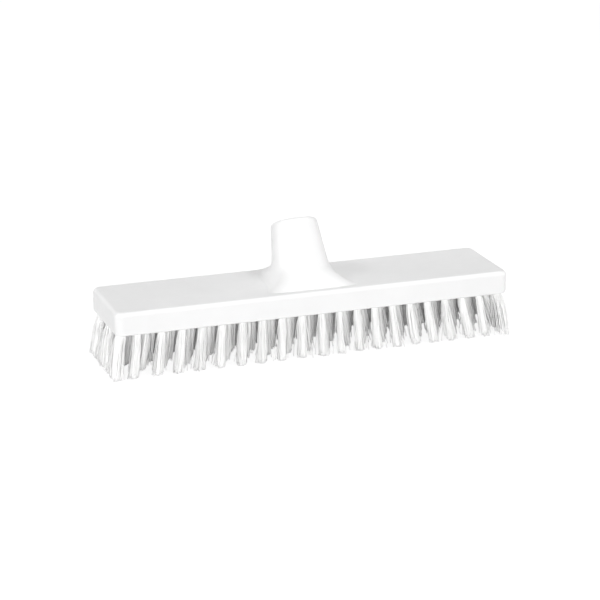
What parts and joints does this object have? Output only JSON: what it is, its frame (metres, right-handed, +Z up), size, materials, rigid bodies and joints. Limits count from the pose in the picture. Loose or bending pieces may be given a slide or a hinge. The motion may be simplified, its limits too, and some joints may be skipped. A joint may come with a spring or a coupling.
{
  "type": "deck brush head",
  "caption": "Deck scrubbing brush head: a plain moulded bar with a leaning threaded handle socket flared into its top and staggered tufts of stiff bristles fanned out below.",
  "frame": {"origin": "on the floor under the middle of the head, at the bristle tips", "axes": "+X along the block, +Y to the back, towards which the socket leans, +Z up"},
  "size_m": [0.3122, 0.07, 0.0978],
  "materials": {
    "moulded_plastic": "satin white moulded polypropylene",
    "filament": "slightly see-through white polyester filament"
  },
  "bodies": {
    "root": {"block": "moulded_plastic", "tuft_column_01": "filament", "tuft_column_02": "filament", "tuft_column_03": "filament", "tuft_column_04": "filament", "tuft_column_05": "filament", "tuft_column_06": "filament", "tuft_column_07": "filament", "tuft_column_08": "filament", "tuft_column_09": "filament", "tuft_column_10": "filament", "tuft_column_11": "filament", "tuft_column_12": "filament", "tuft_column_13": "filament", "tuft_column_14": "filament", "tuft_column_15": "filament", "tuft_column_16": "filament", "tuft_column_17": "filament", "tuft_column_18": "filament", "tuft_column_19": "filament", "tuft_column_20": "filament", "tuft_column_21": "filament", "tuft_column_22": "filament", "tuft_column_23": "filament", "tuft_column_24": "filament", "tuft_column_25": "filament", "tuft_column_26": "filament", "tuft_column_27": "filament", "tuft_column_28": "filament", "tuft_column_29": "filament", "tuft_column_30": "filament", "tuft_column_31": "filament", "tuft_column_32": "filament", "tuft_column_33": "filament", "tuft_column_34": "filament", "tuft_column_35": "filament", "tuft_column_36": "filament", "tuft_column_37": "filament", "tuft_column_38": "filament", "tuft_column_39": "filament", "tuft_column_40": "filament", "tuft_column_41": "filament"}
  },
  "joints": []
}
